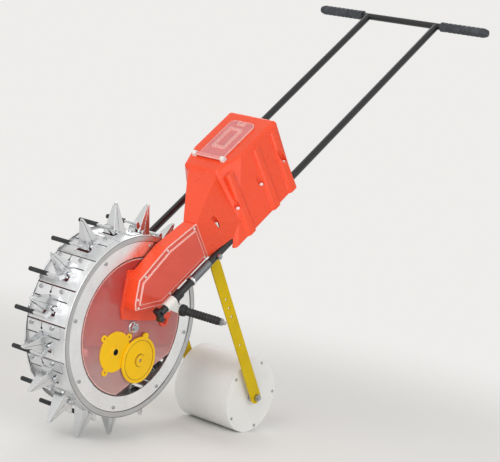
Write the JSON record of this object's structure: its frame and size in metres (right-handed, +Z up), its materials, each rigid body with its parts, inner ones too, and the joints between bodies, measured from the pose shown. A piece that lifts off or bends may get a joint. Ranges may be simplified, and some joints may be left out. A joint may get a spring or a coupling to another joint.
{
  "type": "walk-behind seed planter",
  "caption": "Walk-behind seed planter: beaked dibbling wheel with sprung beak flaps, seed hopper and chute on a tubular handle, and a press roller on swinging arms.",
  "frame": {"origin": "centre of the bounding box on the ground the planter stands on", "axes": "+X forward, from the handle to the wheel; +Y to the left of whoever pushes it; +Z up"},
  "size_m": [1.3146, 0.5692, 1.1668],
  "materials": {
    "black_paint": "satin",
    "black_rubber": "matte",
    "grey_sleeve": "satin",
    "black_plastic": "matte",
    "white_plastic": "satin",
    "orange_plastic": "gloss",
    "clear_red": "gloss",
    "yellow_plastic": "gloss",
    "bright_steel": "polished",
    "rim_aluminium": "polished",
    "zinc_steel": "satin",
    "grey_cast": "machined",
    "yellow_paint": "gloss",
    "white_roller": "satin"
  },
  "bodies": {
    "frame": {"handle_tube_left": "black_paint", "handle_tube_right": "black_paint", "crossbar": "black_paint", "grip_left": "black_rubber", "grip_right": "black_rubber", "tube_sleeves": "grey_sleeve", "tube_fittings": "black_plastic", "tube_tee": "white_plastic", "side_peg": "black_rubber", "hopper_upper": "orange_plastic", "hopper_lower": "orange_plastic", "hopper_straps": "grey_sleeve", "body_screws": "zinc_steel", "lid_hinge": "white_plastic", "chute_body": "orange_plastic", "chute_cover": "clear_red", "chamber_cover": "clear_red", "chamber_housing": "orange_plastic", "meter_cover": "yellow_plastic", "brush_cover": "yellow_plastic", "brush": "black_plastic", "axle": "zinc_steel", "axle_hardware": "zinc_steel", "axle_plate": "black_paint", "arm_bolts": "zinc_steel"},
    "lid": {"lid": "clear_red"},
    "wheel": {"rim_left": "rim_aluminium", "rim_right": "rim_aluminium", "wheel_web": "rim_aluminium", "wheel_hub": "grey_cast", "ring_gear": "grey_cast", "deck_segments": "bright_steel", "fixed_beaks": "bright_steel", "wheel_bolts": "zinc_steel"},
    "meter": {"seed_roller": "rim_aluminium", "meter_pinion": "grey_cast", "meter_shaft": "zinc_steel"},
    "arms": {"arm_left": "yellow_paint", "arm_right": "yellow_paint", "roller_axle": "zinc_steel"},
    "roller": {"roller_drum": "white_roller", "roller_caps": "white_roller"},
    "flap_01": {"flap_01": "bright_steel"},
    "flap_02": {"flap_02": "bright_steel"},
    "flap_03": {"flap_03": "bright_steel"},
    "flap_04": {"flap_04": "bright_steel"},
    "flap_05": {"flap_05": "bright_steel"},
    "flap_06": {"flap_06": "bright_steel"},
    "flap_07": {"flap_07": "bright_steel"},
    "flap_08": {"flap_08": "bright_steel"},
    "flap_09": {"flap_09": "bright_steel"},
    "flap_10": {"flap_10": "bright_steel"},
    "flap_11": {"flap_11": "bright_steel"},
    "flap_12": {"flap_12": "bright_steel"},
    "flap_13": {"flap_13": "bright_steel"},
    "flap_14": {"flap_14": "bright_steel"},
    "flap_15": {"flap_15": "bright_steel"},
    "flap_16": {"flap_16": "bright_steel"}
  },
  "joints": [
    {"name": "wheel_spin", "type": "hinge", "parent": "frame", "child": "wheel", "pos_m": [0.36766, 0, 0.28962], "axis": [0, 1, 0], "continuous": true},
    {"name": "meter_spin", "type": "hinge", "parent": "frame", "child": "meter", "pos_m": [0.32963, 0, 0.20805], "axis": [0, 1, 0], "continuous": true},
    {"name": "lid_swing", "type": "hinge", "parent": "frame", "child": "lid", "pos_m": [0.11104, 0, 0.71186], "axis": [0, 1, 0], "range_deg": [0, 110]},
    {"name": "arms_swing", "type": "hinge", "parent": "frame", "child": "arms", "pos_m": [0.16056, 0, 0.47841], "axis": [0, -1, 0], "range_deg": [0, 15]},
    {"name": "roller_spin", "type": "hinge", "parent": "arms", "child": "roller", "pos_m": [-0.12434, 0, 0.1], "axis": [0, 1, 0], "continuous": true},
    {"name": "flap_01_open", "type": "hinge", "parent": "wheel", "child": "flap_01", "pos_m": [0.31461, 0, 0.06979], "axis": [0, 1, 0], "range_deg": [0, 20], "stiffness_Nm_per_rad": 0.6, "springref_deg": -14.9},
    {"name": "flap_02_open", "type": "hinge", "parent": "wheel", "child": "flap_02", "pos_m": [0.40277, 0, 0.06622], "axis": [0, 1, 0], "range_deg": [0, 20], "stiffness_Nm_per_rad": 0.6, "springref_deg": -14.9},
    {"name": "flap_03_open", "type": "hinge", "parent": "wheel", "child": "flap_03", "pos_m": [0.48559, 0, 0.09666], "axis": [0, 1, 0], "range_deg": [0, 20], "stiffness_Nm_per_rad": 0.6, "springref_deg": -14.9},
    {"name": "flap_04_open", "type": "hinge", "parent": "wheel", "child": "flap_04", "pos_m": [0.55046, 0, 0.15648], "axis": [0, 1, 0], "range_deg": [0, 20], "stiffness_Nm_per_rad": 0.6, "springref_deg": -14.9},
    {"name": "flap_05_open", "type": "hinge", "parent": "wheel", "child": "flap_05", "pos_m": [0.58749, 0, 0.23656], "axis": [0, 1, 0], "range_deg": [0, 20], "stiffness_Nm_per_rad": 0.6, "springref_deg": -14.9},
    {"name": "flap_06_open", "type": "hinge", "parent": "wheel", "child": "flap_06", "pos_m": [0.59106, 0, 0.32473], "axis": [0, 1, 0], "range_deg": [0, 20], "stiffness_Nm_per_rad": 0.6, "springref_deg": -14.9},
    {"name": "flap_07_open", "type": "hinge", "parent": "wheel", "child": "flap_07", "pos_m": [0.56062, 0, 0.40755], "axis": [0, 1, 0], "range_deg": [0, 20], "stiffness_Nm_per_rad": 0.6, "springref_deg": -14.9},
    {"name": "flap_08_open", "type": "hinge", "parent": "wheel", "child": "flap_08", "pos_m": [0.5008, 0, 0.47241], "axis": [0, 1, 0], "range_deg": [0, 20], "stiffness_Nm_per_rad": 0.6, "springref_deg": -14.9},
    {"name": "flap_09_open", "type": "hinge", "parent": "wheel", "child": "flap_09", "pos_m": [0.42072, 0, 0.50945], "axis": [0, 1, 0], "range_deg": [0, 20], "stiffness_Nm_per_rad": 0.6, "springref_deg": -14.9},
    {"name": "flap_10_open", "type": "hinge", "parent": "wheel", "child": "flap_10", "pos_m": [0.33255, 0, 0.51302], "axis": [0, 1, 0], "range_deg": [0, 20], "stiffness_Nm_per_rad": 0.6, "springref_deg": -14.9},
    {"name": "flap_11_open", "type": "hinge", "parent": "wheel", "child": "flap_11", "pos_m": [0.24974, 0, 0.48258], "axis": [0, 1, 0], "range_deg": [0, 20], "stiffness_Nm_per_rad": 0.6, "springref_deg": -14.9},
    {"name": "flap_12_open", "type": "hinge", "parent": "wheel", "child": "flap_12", "pos_m": [0.18487, 0, 0.42276], "axis": [0, 1, 0], "range_deg": [0, 20], "stiffness_Nm_per_rad": 0.6, "springref_deg": -14.9},
    {"name": "flap_13_open", "type": "hinge", "parent": "wheel", "child": "flap_13", "pos_m": [0.14783, 0, 0.34268], "axis": [0, 1, 0], "range_deg": [0, 20], "stiffness_Nm_per_rad": 0.6, "springref_deg": -14.9},
    {"name": "flap_14_open", "type": "hinge", "parent": "wheel", "child": "flap_14", "pos_m": [0.14426, 0, 0.25451], "axis": [0, 1, 0], "range_deg": [0, 20], "stiffness_Nm_per_rad": 0.6, "springref_deg": -14.9},
    {"name": "flap_15_open", "type": "hinge", "parent": "wheel", "child": "flap_15", "pos_m": [0.1747, 0, 0.17169], "axis": [0, 1, 0], "range_deg": [0, 20], "stiffness_Nm_per_rad": 0.6, "springref_deg": -14.9},
    {"name": "flap_16_open", "type": "hinge", "parent": "wheel", "child": "flap_16", "pos_m": [0.23452, 0, 0.10683], "axis": [0, 1, 0], "range_deg": [0, 20], "stiffness_Nm_per_rad": 0.6, "springref_deg": -14.9}
  ],
  "couplings": [
    {"joint": "meter_spin", "follows": "wheel_spin", "ratio": 4}
  ]
}
